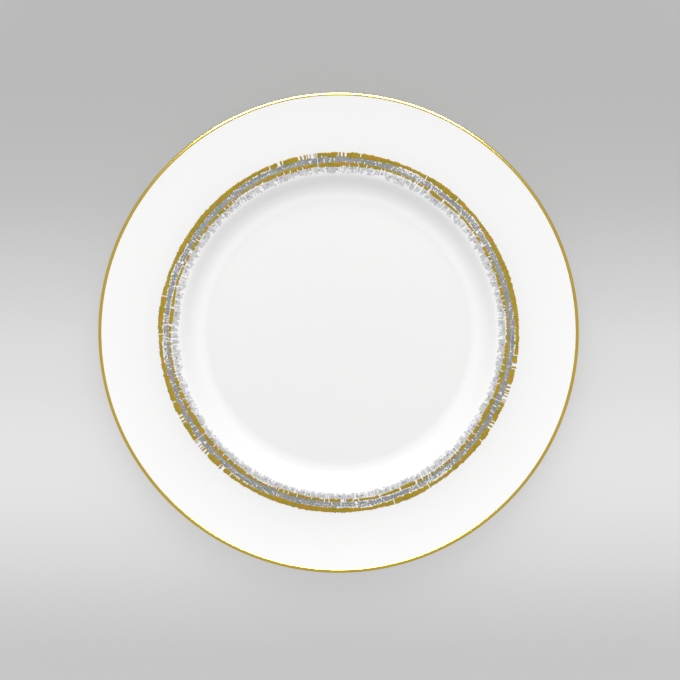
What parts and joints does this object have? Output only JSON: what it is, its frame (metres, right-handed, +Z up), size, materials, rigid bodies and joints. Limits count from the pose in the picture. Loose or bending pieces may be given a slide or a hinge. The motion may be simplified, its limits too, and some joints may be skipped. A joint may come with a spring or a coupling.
{
  "type": "dinner plate",
  "caption": "Round rimmed dinner plate on a foot ring, with a gilt edge line and a broken metallic stripe band printed just outside the well.",
  "frame": {"origin": "centre of the foot ring, on the surface that the plate stands on", "axes": "+Z up along the plate's axis of revolution; +Y towards the top of the face when it is seen from above"},
  "size_m": [0.267, 0.267, 0.0203],
  "materials": {
    "china": "matte",
    "glaze": "gloss",
    "edge_gold": "polished",
    "stripe_gold": "satin",
    "platinum": "satin",
    "pearl": "satin"
  },
  "bodies": {
    "root": {"china_body": "china", "glaze_face": "glaze", "glaze_foot_well": "glaze", "rim_gold_line": "edge_gold", "gold_outer_stripe_1": "stripe_gold", "gold_outer_stripe_2": "stripe_gold", "gold_outer_stripe_3": "stripe_gold", "platinum_stripe_1": "platinum", "platinum_stripe_2": "platinum", "platinum_stripe_3": "platinum", "gold_inner_stripe_1": "stripe_gold", "gold_inner_stripe_2": "stripe_gold", "gold_inner_stripe_3": "stripe_gold", "pearl_fringe_1": "pearl", "pearl_fringe_2": "pearl", "pearl_fringe_3": "pearl"}
  },
  "joints": []
}
